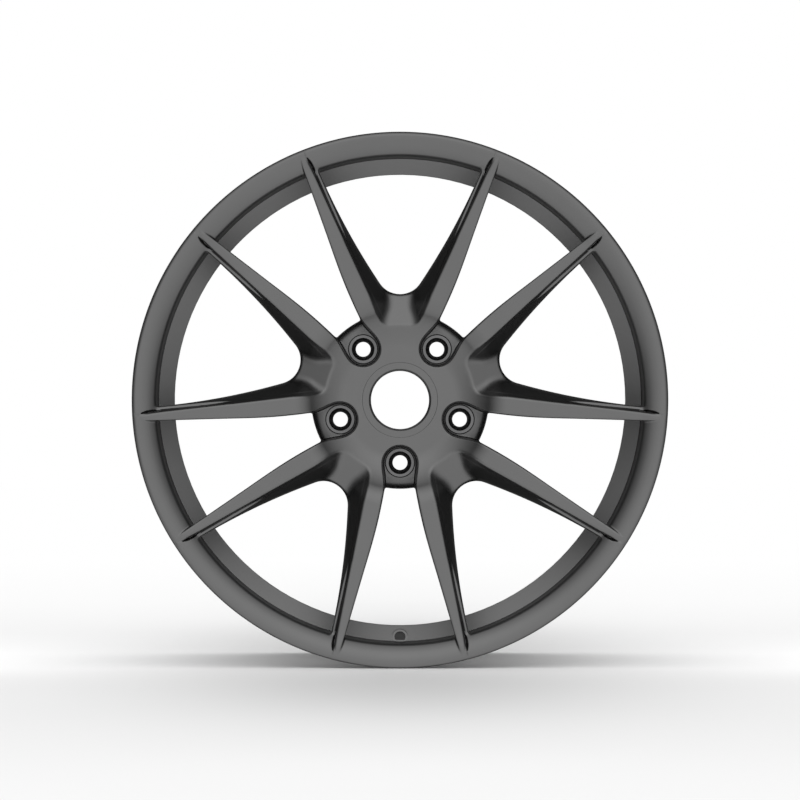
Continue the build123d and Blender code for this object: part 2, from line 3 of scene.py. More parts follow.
import bpy
import numpy as np
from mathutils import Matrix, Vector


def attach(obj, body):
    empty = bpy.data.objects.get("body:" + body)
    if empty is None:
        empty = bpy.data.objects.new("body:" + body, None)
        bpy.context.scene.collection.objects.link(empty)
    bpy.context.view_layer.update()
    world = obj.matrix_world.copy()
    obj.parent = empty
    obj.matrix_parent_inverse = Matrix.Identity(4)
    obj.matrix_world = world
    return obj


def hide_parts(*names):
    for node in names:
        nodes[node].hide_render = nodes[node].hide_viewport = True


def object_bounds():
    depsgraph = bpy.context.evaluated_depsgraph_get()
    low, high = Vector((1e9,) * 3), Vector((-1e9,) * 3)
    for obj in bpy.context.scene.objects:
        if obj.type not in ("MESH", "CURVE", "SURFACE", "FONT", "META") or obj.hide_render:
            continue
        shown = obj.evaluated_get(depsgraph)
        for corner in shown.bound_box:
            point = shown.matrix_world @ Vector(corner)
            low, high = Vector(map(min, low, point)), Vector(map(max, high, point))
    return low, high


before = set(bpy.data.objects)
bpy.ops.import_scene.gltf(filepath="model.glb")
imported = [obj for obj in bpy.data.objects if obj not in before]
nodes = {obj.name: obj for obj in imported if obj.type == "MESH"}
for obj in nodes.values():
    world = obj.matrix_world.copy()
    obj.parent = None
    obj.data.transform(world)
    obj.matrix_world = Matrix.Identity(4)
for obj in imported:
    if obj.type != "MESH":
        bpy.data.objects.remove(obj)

cad_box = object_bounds()

# ---------------------------------------------------------------- places and sizes, metres
front = cad_box[0].y
floor_height = cad_box[0].z
camera_distance = 3.889
lens_mm = 171.65
sensor_mm = 36.0

# satin metal: a fine grain, and slow patches of slightly different shade
grain_scale = 900.0
grain_strength = 0.02
grain_depth = 0.0002
patch_scale = 14.0
shade_change = 0.06
roughness_change = 0.05


# ---------------------------------------------------------------- node helpers
def new_material(name):
    """A material whose tree holds only its output and a Principled shader."""
    material = bpy.data.materials.new(name)
    material.use_nodes = True
    tree = material.node_tree
    tree.nodes.clear()
    output = tree.nodes.new("ShaderNodeOutputMaterial")
    shader = tree.nodes.new("ShaderNodeBsdfPrincipled")
    tree.links.new(shader.outputs["BSDF"], output.inputs["Surface"])
    return material, tree, shader


def add_node(tree, kind, **inputs):
    """A node with some of its inputs set; an underscore in a name stands for a space."""
    node = tree.nodes.new(kind)
    for name, value in inputs.items():
        node.inputs[name.replace("_", " ")].default_value = value
    return node


def metal(name, colour, roughness, metallic=1.0):
    """Satin metal: fine grain in the bump and the roughness, and slow changes of shade."""
    material, tree, shader = new_material(name)
    link = tree.links.new
    place = tree.nodes.new("ShaderNodeTexCoord")
    slow = add_node(tree, "ShaderNodeTexNoise", Scale=patch_scale, Detail=4.0, Roughness=0.6)
    fine = add_node(tree, "ShaderNodeTexNoise", Scale=grain_scale, Detail=3.0, Roughness=0.7)
    for noise in (slow, fine):
        link(place.outputs["Object"], noise.inputs["Vector"])
    shade = tree.nodes.new("ShaderNodeMix")
    shade.data_type = "RGBA"
    shade.inputs["A"].default_value = (*[c * (1 - shade_change) for c in colour], 1)
    shade.inputs["B"].default_value = (*[c * (1 + shade_change) for c in colour], 1)
    link(slow.outputs["Fac"], shade.inputs["Factor"])
    link(shade.outputs["Result"], shader.inputs["Base Color"])
    rough = tree.nodes.new("ShaderNodeMapRange")
    rough.inputs["To Min"].default_value = roughness - roughness_change
    rough.inputs["To Max"].default_value = roughness + roughness_change
    link(fine.outputs["Fac"], rough.inputs["Value"])
    link(rough.outputs["Result"], shader.inputs["Roughness"])
    bump = add_node(tree, "ShaderNodeBump", Strength=grain_strength, Distance=grain_depth)
    link(fine.outputs["Fac"], bump.inputs["Height"])
    link(bump.outputs["Normal"], shader.inputs["Normal"])
    shader.inputs["Metallic"].default_value = metallic
    return material


# ---------------------------------------------------------------- materials
gunmetal = metal("satin_gunmetal", (0.106, 0.106, 0.106), 0.38)
barrel_gunmetal = metal("barrel_gunmetal", (0.118, 0.118, 0.118), 0.40)
seat_steel = metal("seat_steel", (0.116, 0.116, 0.117), 0.32)
fastener_steel = metal("fastener_steel", (0.08, 0.08, 0.085), 0.42)
spring_steel = metal("spring_steel", (0.22, 0.22, 0.23), 0.35)
ring_alloy = metal("ring_alloy", (0.45, 0.46, 0.47), 0.35)
sealant = metal("sealant", (0.03, 0.03, 0.03), 0.6, metallic=0.0)
finish_of = {
    "face_forging": gunmetal,
    "inner_barrel": barrel_gunmetal,
    "lug_seat_insert": seat_steel,
    "lug_insert_ring": spring_steel,
    "centring_snap_ring": spring_steel,
    "hub_centring_ring": ring_alloy,
    "seam_seal": sealant,
}
for name, node in nodes.items():
    finish = next((m for start, m in finish_of.items() if name.startswith(start)), fastener_steel)
    for slot in node.material_slots:
        slot.material = finish


# ---------------------------------------------------------------- the wheel's own sizes, millimetres
# Radii are from the axis, depths from the front. x and h are places across and along a spoke pair.
pair_count = 5
half_pair = math.radians(180 / pair_count)
hub_depth = 35.0
mount_depth = 77.25
seam_depth = 36.0

# front of the spokes: hub flat, two hollow arcs, a round brow, a cone and the flatter tips
hub_flat_radius = 56.0
bend_radii = (30.0, 68.0)
bend_turns = (18.0, 43.0)                # degrees, at the end of each arc
brow_radius = 30.0
tip_start = (245.0, 2.2)
tip_end = (263.0, 0.1)

# rear of the spokes and their ends behind the lip, as (radius, depth)
spoke_back_radius = 207.0
spoke_back_length = 1.063               # of the slanted back, per millimetre of radius
spoke_back_round = 1.2
spoke_end = ((268.0, 0.1), (260.0, 10.0), (254.0, 16.0), (253.0, 36.0))

# outer lip: inner corner, crown, nose, flange, bead seat and the step at the seam
lip_radius = 249.0
lip_rear_radius = 250.9
lip_corner_radius = 8.0
lip_crown_turn = 40.0                   # degrees between the crown's foot and the nose
nose_radius = 269.6
nose_round = 4.3
flange_round = 8.2
flange_round_centre = (265.5, 4.8)
flange_thickness = 12.95
bead_radius = 256.4
bead_corner = 6.5
seam_step = ((254.6, 34.0), (253.3, 34.0), (253.3, seam_depth))
lip_blend_depths = (0.3, 3.0, 10.0, 26.0, 33.0)
lip_blends = (0.3, 2.0, 3.0, 4.0, 0.3)
seam_face_radius = 200.0

# gap beside a lug: its edge as (x, h), draft and edge rounding along h, pad and round pad edge
lug_circle = 65.0
lug_pocket = 18.6
outer_edge = ((45.1, 92.7), (58.5, 123.4), (73.5, 164.2), (96.9, 230.0))
gap_neck = (-16.4, 90.0)
gap_tail = 60.0
gap_draft_places = (78.0, 96.0)
gap_drafts = (0.06, 0.015)
gap_round_places = (82.0, 102.0, 215.0, 235.0)
gap_rounds = (1.1, 2.6, 2.6, 2.0)
pad_radius = 92.3
pad_floor_depth = 63.0
pad_round_start = 80.0
pad_round_height = 13.0
pad_fall_limit = 0.97
pad_edge_slope = 0.8
foot_round = 2.0

# lug bore, the recess behind it and the weight-saving pockets behind the hub
lug_bore = 13.0
lug_recess = 15.6
lug_recess_depth = 72.6
lug_bore_round = 0.4
pocket_radii = (46.0, 67.0)
pocket_half_angle = math.radians(15)
pocket_depth = 58.0
pocket_corner = 6.0
pocket_wall_round = 1.0
pocket_floor_round = 3.0
pocket_edge_round = 1.2

# hub bore: cap seat, cap bore with its groove, chamber, snap ring and centring ring
cap_seat = (38.7, 35.6)
cap_bore_radius = 30.0
cap_bore_chamfer = 2.0
cap_groove_radius = 32.0
cap_groove_depths = (45.0, 49.0)
chamber_depth = 57.0
hub_bore_radius = 35.8
snap_ring_radius = 41.0
snap_ring_depths = (63.0, 64.8)
centring_seat = (39.5, 65.0)
bore_core_radius = 20.0
bore_reach = 8.0
bore_round = 0.3

# window between the two spokes of a pair: the notch at its inner end and its long edge, as (x, h)
window_bottom = (0.0, 109.3)
window_edge = ((21.4, 121.4), (57.0, 180.5), (84.1, 237.3))
window_round_places = (122.0, 130.0)
window_rounds = (3.4, 2.6)

# scooped pocket of a pair: its wall at the front and at the rear as (x, h), and its ramped floor
scoop_front = ((29.5, 103.0), (87.6, 230.1))
scoop_rear = ((19.6, 123.0), (82.4, 237.3))
scoop_depth = 35.0
scoop_ramp_start = (76.3, 29.0)
scoop_ramp_angle = math.radians(23)
scoop_spread = 0.5
scoop_floor_round = 6.0
scoop_edge_round = 1.9

# ledge along the outer part of the scoop's wall
ledge_depth = 6.0
ledge_start = 163.0
ledge_end = 236.0
ledge_width = 5.5
ledge_growth = 0.6
ledge_overrun = 1.4
ledge_spread = 0.46
ledge_lean_change = (159.0, 188.0)
ledge_lean_places = (195.0, 236.0)
ledge_leans = (0.30, 0.5)
ledge_corner_round = 1.2
ledge_floor_round = 9.0
ledge_edge_round = 1.0

# notch that a scoop leaves in the lip beside the spoke's tip
notch_start_radius = 245.0
notch_width = 3.4
notch_end = 248.0
notch_taper = 5.5
notch_steepness = 1.3
notch_lean = math.hypot(1, notch_steepness)
notch_side_scale = 0.9
notch_crown_reach = 18.0
notch_round = 0.5
notch_clear = 5.0

# blind threads behind the spoke ends
bolt_angle = math.radians(21.15)
bolt_circles = (240.5, 221.0)
thread_radius = 4.5
thread_depth = 15.0


# ---------------------------------------------------------------- curves
def arc(centre, radius, start, end, count):
    """Points on a circle; angles in degrees, turning from the first axis to the second."""
    angle = np.radians(np.linspace(start, end, count))
    return np.stack([centre[0] + radius * np.cos(angle), centre[1] + radius * np.sin(angle)], 1)


def circle_through(a, b, c):
    """Centre and radius of the circle through three points."""
    (ax, ay), (bx, by), (cx, cy) = a, b, c
    scale = 2 * (ax * (by - cy) + bx * (cy - ay) + cx * (ay - by))
    a2, b2, c2 = ax * ax + ay * ay, bx * bx + by * by, cx * cx + cy * cy
    x = (a2 * (by - cy) + b2 * (cy - ay) + c2 * (ay - by)) / scale
    y = (a2 * (cx - bx) + b2 * (ax - cx) + c2 * (bx - ax)) / scale
    return (x, y), math.hypot(ax - x, ay - y)


def spline(points, start, end, count=20):
    """Smooth cubic through the points, with unit end tangents; count points per span."""
    p = np.array(points, float)
    step = np.hypot(*np.diff(p, axis=0).T)
    n = len(p)
    system, known = np.eye(n), np.zeros((n, 2))
    known[0], known[-1] = start, end
    for i in range(1, n - 1):
        before, after = step[i - 1], step[i]
        system[i, i - 1 : i + 2] = after, 2 * (before + after), before
        known[i] = 3 * (after / before * (p[i] - p[i - 1]) + before / after * (p[i + 1] - p[i]))
    slope = np.linalg.solve(system, known)
    spans = []
    for i in range(n - 1):
        u = np.linspace(0, 1, count, endpoint=i == n - 2)[:, None]
        h = step[i]
        spans.append(
            (1 + 2 * u) * (1 - u) ** 2 * p[i] + u * (1 - u) ** 2 * h * slope[i]
            + u * u * (3 - 2 * u) * p[i + 1] + u * u * (u - 1) * h * slope[i + 1]
        )
    return np.concatenate(spans)


def distance(px, py, line):
    """Distance from points to a polyline."""
    best = np.full(np.broadcast(px, py).shape, np.inf)
    for (ax, ay), (bx, by) in zip(line[:-1], line[1:]):
        dx, dy = bx - ax, by - ay
        share = np.clip(((px - ax) * dx + (py - ay) * dy) / (dx * dx + dy * dy), 0, 1)
        np.minimum(best, (px - ax - share * dx) ** 2 + (py - ay - share * dy) ** 2, out=best)
    return np.sqrt(best)


def inside_of(px, py, line):
    """Whether points lie inside a closed outline."""
    inside = np.zeros(np.broadcast(px, py).shape, bool)
    for (ax, ay), (bx, by) in zip(line, np.roll(line, -1, axis=0)):
        if ay != by:
            inside ^= ((ay > py) != (by > py)) & (px < (bx - ax) * (py - ay) / (by - ay) + ax)
    return inside


def outline_field(px, py, line):
    """Signed distance to a closed outline, negative inside."""
    away = distance(px, py, np.concatenate([line, line[:1]]))
    return np.where(inside_of(px, py, line), -away, away)


def smooth_min(a, b, k):
    """The smaller of two fields, with the corner between them rounded."""
    share = np.clip(0.5 + 0.5 * (b - a) / k, 0, 1)
    return b + (a - b) * share - k * share * (1 - share)


def smooth_max(a, b, k):
    """The larger of two fields, with the corner between them rounded."""
    return -smooth_min(-a, -b, k)


def smooth_step(value, low, high):
    """Smooth rise from 0 at low to 1 at high."""
    share = np.clip((value - low) / (high - low), 0, 1)
    return share * share * (3 - 2 * share)


def hermite(r, start, end, start_slope, end_slope):
    """Cubic from one point to another with set slopes, as a depth over the radius."""
    h = end[0] - start[0]
    u = np.clip((r - start[0]) / h, 0, 1)
    return (
        (1 + 2 * u) * (1 - u) ** 2 * start[1] + u * (1 - u) ** 2 * h * start_slope
        + u * u * (3 - 2 * u) * end[1] + u * u * (u - 1) * h * end_slope
    )


# Where the hub's face bends up into the spokes.
first_turn, bend_angle = (math.radians(turn) for turn in bend_turns)
inner_centre = (hub_flat_radius, hub_depth - bend_radii[0])
outer_centre = (
    inner_centre[0] - (bend_radii[1] - bend_radii[0]) * math.sin(first_turn),
    inner_centre[1] - (bend_radii[1] - bend_radii[0]) * math.cos(first_turn),
)
bend_change = inner_centre[0] + bend_radii[0] * math.sin(first_turn)
brow = (
    outer_centre[0] + bend_radii[1] * math.sin(bend_angle),
    outer_centre[1] + bend_radii[1] * math.cos(bend_angle),
)
brow_centre = (
    brow[0] + brow_radius * math.sin(bend_angle),
    brow[1] + brow_radius * math.cos(bend_angle),
)
# the cone leaves the brow where its line to the tips touches the brow's circle
cone_reach = math.hypot(tip_start[0] - brow_centre[0], tip_start[1] - brow_centre[1])
cone_turn = (
    math.atan2(brow_centre[1] - tip_start[1], tip_start[0] - brow_centre[0])
    - math.asin(brow_radius / cone_reach)
)
root = (
    brow_centre[0] - brow_radius * math.sin(cone_turn),
    brow_centre[1] - brow_radius * math.cos(cone_turn),
)
cone_slope = -math.tan(cone_turn)


def front_depth(r):
    """Depth of the front: hub flat, bend, brow, cone of the spoke faces, and the flatter tips."""
    near = np.clip(r, inner_centre[0], bend_change) - inner_centre[0]
    far = np.clip(r, bend_change, brow[0]) - outer_centre[0]
    bend = np.where(
        r < bend_change,
        inner_centre[1] + np.sqrt(bend_radii[0] ** 2 - near**2),
        outer_centre[1] + np.sqrt(bend_radii[1] ** 2 - far**2),
    )
    across = np.clip(brow_centre[0] - r, 0, brow_radius)
    round_brow = brow_centre[1] - np.sqrt(brow_radius**2 - across**2)
    tip = hermite(r, tip_start, tip_end, cone_slope, 0.0)
    cone = root[1] + cone_slope * (r - root[0])
    inner = np.where(r < brow[0], bend, np.where(r < root[0], round_brow, cone))
    return np.where(r < tip_start[0], inner, tip)


def rear_depth(r):
    """Depth of the rear: the mounting face, then the slope of the spokes' backs to the seam."""
    return np.interp(r, [pad_radius, spoke_back_radius], [mount_depth, seam_depth])


# Lip section, from the seam round the front to the bead seat and back.
corner_turn = math.radians(lip_crown_turn)
lip_crown_radius = (
    nose_radius - lip_radius - lip_corner_radius * (1 - math.sin(corner_turn))
) / math.sin(corner_turn)
crown_centre = (nose_radius, lip_crown_radius)
crown_foot_depth = lip_crown_radius * (1 - math.cos(corner_turn))
corner_centre = (
    lip_radius + lip_corner_radius,
    crown_foot_depth + lip_corner_radius * math.cos(corner_turn),
)
bead_centre = (bead_radius + bead_corner, flange_thickness + bead_corner)
lip_section = np.concatenate([
    [(lip_rear_radius, seam_depth)],
    arc(corner_centre, lip_corner_radius, 180, 270 - lip_crown_turn, 16),
    arc(crown_centre, lip_crown_radius, 270 - lip_crown_turn, 270, 24),
    arc((nose_radius, nose_round), nose_round, 270, 360, 14)[1:],
    arc(flange_round_centre, flange_round, 6, 90, 14),
    arc(bead_centre, bead_corner, 270, 180, 12),
    seam_step,
])

# Edge of the gap beside a lug, for a gap at the top, on its positive side.
cosine, sine = math.cos(half_pair), math.sin(half_pair)
turn_to_lug = np.array([[cosine, -sine], [sine, cosine]])
gap_points = [(lug_pocket, lug_circle), (-gap_neck[0], gap_neck[1])] + [
    (-x, y) for x, y in (turn_to_lug @ np.array(outer_edge).T).T
]
gap_way = np.subtract(gap_points[-1], gap_points[-2])
gap_way = gap_way / np.hypot(*gap_way)
gap_side = spline(gap_points, (0, 1), gap_way)
gap_line = np.concatenate([
    arc((0, lug_circle), lug_pocket, -90, 0, 20)[:-1],
    gap_side,
    [gap_side[-1] + gap_way * gap_tail],
])
past_middle = -50                       # x where the gap's outline closes, beyond the lug
gap_outline = np.concatenate([gap_line, [(past_middle, gap_line[-1][1]), (past_middle, gap_line[0][1])]])

side_centre, side_radius = circle_through(*window_edge)
notch_centre, notch_radius = circle_through(
    window_bottom, window_edge[0], (-window_edge[0][0], window_edge[0][1])
)
edge_side = 1 if side_centre[0] > window_edge[1][0] else -1

# Section of the hub bore, from before the hub's face to behind the mounting face.
bore_section = np.array([
    (bore_core_radius, hub_depth - bore_reach),
    (cap_seat[0], hub_depth - bore_reach),
    cap_seat,
    (cap_bore_radius + cap_bore_chamfer, cap_seat[1]),
    (cap_bore_radius, cap_seat[1] + cap_bore_chamfer),
    (cap_bore_radius, cap_groove_depths[0]),
    (cap_groove_radius, cap_groove_depths[0]),
    (cap_groove_radius, cap_groove_depths[1]),
    (cap_bore_radius, cap_groove_depths[1]),
    (cap_bore_radius, chamber_depth),
    (hub_bore_radius, chamber_depth),
    (hub_bore_radius, snap_ring_depths[0]),
    (snap_ring_radius, snap_ring_depths[0]),
    (snap_ring_radius, snap_ring_depths[1]),
    centring_seat,
    (centring_seat[0], mount_depth + bore_reach),
    (bore_core_radius, mount_depth + bore_reach),
])


# ---------------------------------------------------------------- fields of the face forging
def line_x(points, h):
    """Where the line through two (x, h) points is at h."""
    (x0, h0), (x1, h1) = points
    return x0 + (h - h0) * (x1 - x0) / (h1 - h0)


def blank_field(r, d):
    """Negative between the front and the rear, out to the spoke ends."""
    front_side = (front_depth(r) - d) / math.hypot(1, cone_slope)
    back_length = np.where((r > pad_radius) & (r < spoke_back_radius), spoke_back_length, 1.0)
    rear_side = (d - rear_depth(r)) / back_length
    ends = np.array(spoke_end)
    end = r - np.interp(d, ends[:, 1], ends[:, 0])
    return smooth_max(np.maximum(front_side, end), rear_side, spoke_back_round)


def window_field(x, h):
    """Negative in the window between the two spokes of a pair."""
    across = np.abs(x)
    side = edge_side * (side_radius - np.hypot(across - side_centre[0], h - side_centre[1]))
    notch = np.hypot(across - notch_centre[0], h - notch_centre[1]) - notch_radius
    # the notch's arc holds below the line from its centre through the place where it meets the edge
    way = np.subtract(window_edge[0], notch_centre)
    above = (across - notch_centre[0]) * -way[1] + (h - notch_centre[1]) * way[0]
    return np.where(above > 0, side, notch)


def scoop_field(x, h, d):
    """Negative in the scooped pocket of a pair, with the ledge along its outer part."""
    across = np.abs(x)
    below = d - front_depth(h)
    front_edge = line_x(scoop_front, h)
    rear_edge = line_x(scoop_rear, h)
    wall_slope = (front_edge - rear_edge) / scoop_depth
    along = np.clip((h - ledge_start) / (ledge_end - ledge_start), 0, None)
    step = ledge_width * np.minimum(along, ledge_overrun) ** ledge_growth
    wall = (front_edge - step) + (rear_edge - front_edge + step) * below / scoop_depth
    deep_wall = (across - wall) / np.sqrt(1 + scoop_spread**2 + wall_slope**2)
    ramp_depth = scoop_ramp_start[1] + (h - scoop_ramp_start[0]) * math.tan(scoop_ramp_angle)
    floor = (d - ramp_depth) * math.cos(scoop_ramp_angle)
    deep_cut = smooth_max(deep_wall, floor, scoop_floor_round)
    share = smooth_step(h, *ledge_lean_change)
    lean = wall_slope * (1 - share) + np.interp(h, ledge_lean_places, ledge_leans) * share
    upper_wall = (across - (front_edge - lean * below)) / np.sqrt(1 + ledge_spread**2 + lean**2)
    ledge = smooth_max(upper_wall, below - ledge_depth, ledge_corner_round)
    ledge_cut = smooth_max(ledge, floor, ledge_floor_round)
    return smooth_min(deep_cut, ledge_cut, ledge_edge_round)


def lug_gap_field(x, h, r, d):
    """Negative in the gap beside a lug, down to the pad; x and h are across and along the lug."""
    gap = np.where(inside_of(x, h, gap_outline), -1, 1) * distance(x, h, gap_line)
    draft = np.interp(h, gap_draft_places, gap_drafts)
    gap = gap + draft * np.clip(d - hub_depth, 0, pad_floor_depth - hub_depth)
    # the pad's edge is round, a quarter of an ellipse that falls to the pad's rear edge
    fall = np.clip((r - pad_round_start) / (pad_radius - pad_round_start), 0, 1)
    drop = 1 - np.sqrt(1 - np.minimum(fall, pad_fall_limit) ** 2)
    pad_top = pad_floor_depth + pad_round_height * drop
    pad = np.maximum(pad_top - d, r - pad_radius) / np.sqrt(1 + pad_edge_slope * fall**2)
    return -smooth_min(-gap, pad, foot_round)


def lug_bore_field(x, h, d):
    """Negative in a lug's bore and in the recess behind it; x and h are across and along the lug."""
    away = np.hypot(x, h - lug_circle)
    return np.minimum(away - lug_bore, np.maximum(away - lug_recess, lug_recess_depth - d))


def hub_pocket_field(x, h, r, d):
    """Negative in the weight-saving pocket behind the hub."""
    sector = np.abs(x) * math.cos(pocket_half_angle) - h * math.sin(pocket_half_angle)
    ring = smooth_max(pocket_radii[0] - r, r - pocket_radii[1], pocket_wall_round)
    return smooth_max(smooth_max(ring, sector, pocket_corner), pocket_depth - d, pocket_floor_round)


def lip_notch_field(x, h, r, d):
    """Negative in the notch that each scoop leaves in the lip beside the spoke's tip."""
    beside = np.abs(x) - line_x(scoop_front, h)
    width = notch_width * np.sqrt(np.clip((notch_end - h) / notch_taper, 0, 1))
    crown_across = np.clip(nose_radius - r, 0, notch_crown_reach)
    crown = lip_crown_radius - np.sqrt(lip_crown_radius**2 - crown_across**2)
    slant = (d - crown - notch_steepness * (beside + width)) / notch_lean
    notch = np.maximum(beside * notch_side_scale, slant)
    return np.where(r > notch_start_radius, notch, notch_clear)


def face_field(r, a, d):
    """Negative inside the face forging. r and d in mm, a from the middle of the pair."""
    x, h = r * np.sin(a), r * np.cos(a)
    lug_x = np.abs(x * math.cos(half_pair) - h * math.sin(half_pair))
    lug_h = x * math.sin(half_pair) + h * math.cos(half_pair)
    window_round = np.interp(h, window_round_places, window_rounds)
    gap_round = np.interp(lug_h, gap_round_places, gap_rounds)
    lip_blend = np.interp(d, lip_blend_depths, lip_blends)
    solid = blank_field(r, d)
    solid = smooth_max(solid, -scoop_field(x, h, d), scoop_edge_round)
    solid = smooth_max(solid, -window_field(x, h), window_round)
    solid = smooth_max(solid, -lug_gap_field(lug_x, lug_h, r, d), gap_round)
    solid = smooth_max(solid, -lug_bore_field(lug_x, lug_h, d), lug_bore_round)
    solid = smooth_max(solid, -hub_pocket_field(x, h, r, d), pocket_edge_round)
    solid = smooth_max(solid, -outline_field(r, d, bore_section), bore_round)
    solid = smooth_min(solid, outline_field(r, d, lip_section), lip_blend)
    solid = np.maximum(solid, np.where(r > seam_face_radius, d - seam_depth, -np.inf))
    solid = smooth_max(solid, -lip_notch_field(x, h, r, d), notch_round)
    for circle in bolt_circles:
        bolt_x, bolt_h = circle * math.sin(bolt_angle), circle * math.cos(bolt_angle)
        hole = np.hypot(x - bolt_x, h - bolt_h) - thread_radius
        solid = np.maximum(solid, -np.maximum(hole, seam_depth - thread_depth - d))
    return solid


def field_and_slope(points):
    """Field and its slope at points (x, h, d) near the first sector."""
    step = 0.02

    def value(p):
        r = np.hypot(p[:, 0], p[:, 1])
        a = np.arctan2(p[:, 0], p[:, 1])
        return face_field(r, a, p[:, 2])

    slope = np.zeros_like(points)
    for axis in range(3):
        shift = np.zeros(3)
        shift[axis] = step
        slope[:, axis] = (value(points + shift) - value(points - shift)) / (2 * step)
    return value(points), slope


def settled(points, rounds, longest_step):
    """The points moved onto the surface, and the surface's normals there."""
    least_slope = 0.5
    least_length, least_normal = 1e-9, 1e-6
    for _ in range(rounds):
        value, slope = field_and_slope(points)
        move = -value[:, None] * slope / np.maximum((slope**2).sum(1), least_slope**2)[:, None]
        length = np.linalg.norm(move, axis=1)
        points = points + move * np.minimum(1, longest_step / np.maximum(length, least_length))[:, None]
    slope = field_and_slope(points)[1]
    return points, slope / np.maximum(np.linalg.norm(slope, axis=1), least_normal)[:, None]


# ---------------------------------------------------------------- mesh of the face forging
# Grid places as (start, step) pairs: radii in millimetres, angles in degrees from the pair's middle.
radius_spans = (
    (28.6, 0.5), (33.2, 1.1), (37.8, 0.45), (39.7, 1.1), (44.0, 1.5), (108.0, 2.6), (206.0, 2.2),
    (246.0, 1.1), (275.3, 0),
)
angle_spans = ((0, 0.8), (13, 0.42), (17.6, 0.26), (26.2, 0.6), (36, 0))
# Layers of the grid in depth: finer beside the front and the rear, which lie between two layers.
surface_gap = 0.35
front_layers = np.array([
    -3.4, -2.2, -1.1, 0.0, 0.75, 1.5, 2.3, 3.2, 4.4, 5.8, 7.4, 9.2, 11.2, 13.4,
])
rear_layers = np.array([-5.6, -4.0, -2.6, -1.6, -0.8, 0.0, 1.1, 2.2])
middle_layer_count = 16
face_triangles = 198000


def grid_places(spans):
    """Grid places from (start, step) pairs, ending at the last start."""
    places = []
    for (start, step), (end, _) in zip(spans[:-1], spans[1:]):
        count = max(1, round((end - start) / step))
        places.append(np.linspace(start, end, count, endpoint=False))
    return np.concatenate(places + [[spans[-1][0]]])


def face_grid():
    """Radii, angles from the middle of the pair, and the depths of the layers at each radius."""
    radii = grid_places(radius_spans)
    angles = np.radians(grid_places(angle_spans))
    top = front_depth(radii) - surface_gap
    bottom = rear_depth(radii) + surface_gap
    low, high = top + front_layers[-1], bottom + rear_layers[0]
    middle = np.linspace(0, 1, middle_layer_count + 2)[1:-1]
    depth = np.concatenate([
        top[:, None] + front_layers,
        low[:, None] + (high - low)[:, None] * middle,
        bottom[:, None] + rear_layers,
    ], axis=1)
    return radii, angles, depth


def sector_surface():
    """One sector's points on the surface, the number of each cell's point, and the nodes inside."""
    radii, angles, depth = face_grid()
    field = face_field(radii[:, None, None], angles[None, :, None], depth[:, None, :])
    inside = field < 0
    for side in (inside[0], inside[-1], inside[..., 0], inside[..., -1]):
        assert not side.any(), "the grid must reach past the surface"
    rows, turns, layers = (n - 1 for n in field.shape)
    corners = [(i, j, k) for i in (0, 1) for j in (0, 1) for k in (0, 1)]
    count = sum(inside[i : i + rows, j : j + turns, k : k + layers].astype(int) for i, j, k in corners)
    active = (count > 0) & (count < len(corners))
    row, turn, layer = np.nonzero(active)
    # a cell's point is the mean of the places where the surface crosses the cell's edges
    total, hits = np.zeros((len(row), 3)), np.zeros(len(row))
    for axis in range(3):
        for first in corners:
            if first[axis]:
                continue
            second = list(first)
            second[axis] = 1
            before = field[row + first[0], turn + first[1], layer + first[2]]
            after = field[row + second[0], turn + second[1], layer + second[2]]
            cross = (before < 0) != (after < 0)
            share = np.where(cross, before / np.where(cross, before - after, 1), 0)
            point = np.tile(np.array(first, float), (len(row), 1))
            point[:, axis] = share
            total += point * cross[:, None]
            hits += cross
    place = total / hits[:, None]
    r = np.interp(row + place[:, 0], np.arange(len(radii)), radii)
    a = np.interp(turn + place[:, 1], np.arange(len(angles)), angles)
    u, w = place[:, 0], place[:, 2]
    d = (
        (1 - u) * (1 - w) * depth[row, layer] + u * (1 - w) * depth[row + 1, layer]
        + (1 - u) * w * depth[row, layer + 1] + u * w * depth[row + 1, layer + 1]
    )
    points, _ = settled(np.stack([r * np.sin(a), r * np.cos(a), d], 1), rounds=3, longest_step=0.8)
    number = np.full(active.shape, -1)
    number[row, turn, layer] = np.arange(len(row))
    return points, number, inside


def crossing_quads(first, second, *corners):
    """A quad round each grid edge whose two ends lie on different sides of the surface."""
    cross = first != second
    quads = np.stack([corner[cross] for corner in corners], 1)
    turned = ~first[cross]
    quads[turned] = quads[turned][:, ::-1]
    return quads


def face_mesh():
    """Vertices in millimetres and quads of the whole forging; every second sector is mirrored."""
    points, number, inside = sector_surface()
    all_points, tables, nodes_inside = [], [], []
    for sector in range(2 * pair_count):
        flip = sector % 2 == 1
        middle = half_pair * (sector + 1 if flip else sector)
        c, s = math.cos(middle), math.sin(middle)
        x, h = (-points[:, 0] if flip else points[:, 0]), points[:, 1]
        all_points.append(np.stack([x * c + h * s, points[:, 2], h * c - x * s], 1))
        table = np.where(number >= 0, number + sector * len(points), -1)
        tables.append(table[:, ::-1] if flip else table)
        nodes_inside.append(inside[:, :0:-1] if flip else inside[:, :-1])
    table = np.concatenate(tables, 1)
    solid = np.concatenate(nodes_inside, 1)
    before = np.roll(table, 1, axis=1)
    ahead = np.roll(solid, -1, axis=1)
    along_radius = crossing_quads(
        solid[:-1, :, 1:-1], solid[1:, :, 1:-1],
        before[:, :, :-1], table[:, :, :-1], table[:, :, 1:], before[:, :, 1:],
    )
    along_angle = crossing_quads(
        solid[1:-1, :, 1:-1], ahead[1:-1, :, 1:-1],
        table[:-1, :, :-1], table[:-1, :, 1:], table[1:, :, 1:], table[1:, :, :-1],
    )
    along_depth = crossing_quads(
        solid[1:-1, :, :-1], solid[1:-1, :, 1:],
        before[:-1], before[1:], table[1:], table[:-1],
    )
    quads = np.concatenate([along_radius, along_angle, along_depth])
    assert (quads >= 0).all(), "every quad needs its four points"
    return np.concatenate(all_points), quads


